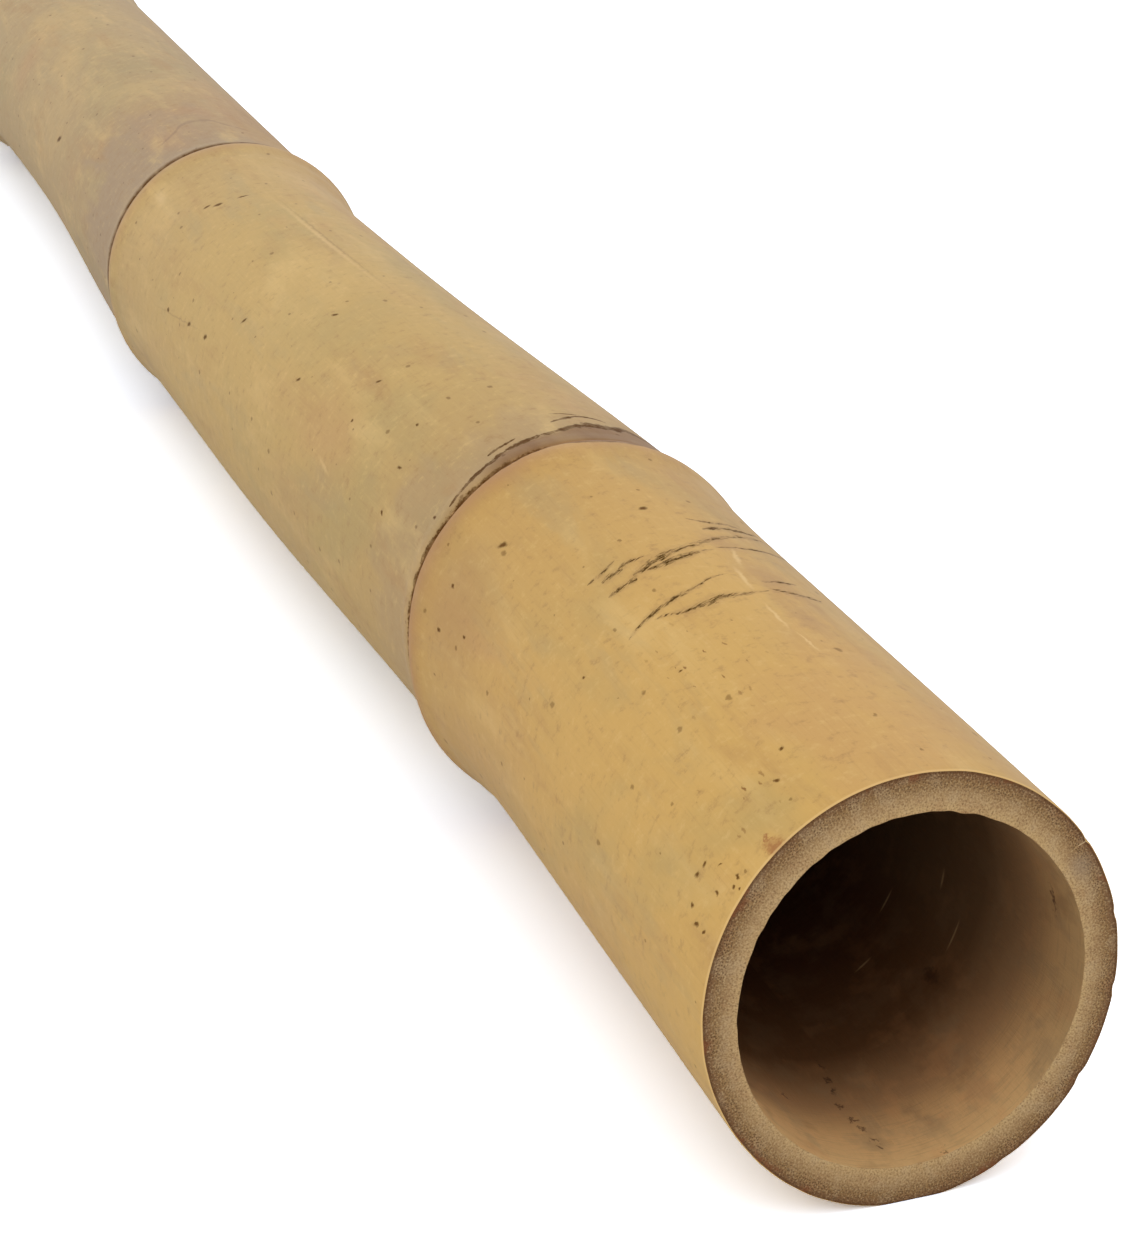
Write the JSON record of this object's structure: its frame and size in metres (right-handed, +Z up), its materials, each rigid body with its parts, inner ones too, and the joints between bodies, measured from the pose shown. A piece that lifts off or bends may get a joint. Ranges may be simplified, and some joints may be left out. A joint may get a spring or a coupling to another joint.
{
  "type": "bamboo cane",
  "caption": "Cut length of thick round bamboo with nodes, hollow between them, open at both cut ends, lying on a surface.",
  "frame": {"origin": "on the ground, under the middle of the cane's box", "axes": "+Y along the cane from the near cut, which is the tip side, to the far cut; +Z up; +X to the right as seen looking along +Y"},
  "size_m": [0.0912, 1.5024, 0.0864],
  "materials": {
    "bamboo": "satin ochre rind with brown node scars, grey-brown bloom and fine dark marks; matt, stippled tan cut faces; matt brown bore"
  },
  "bodies": {
    "root": {"culm": "bamboo"}
  },
  "joints": []
}
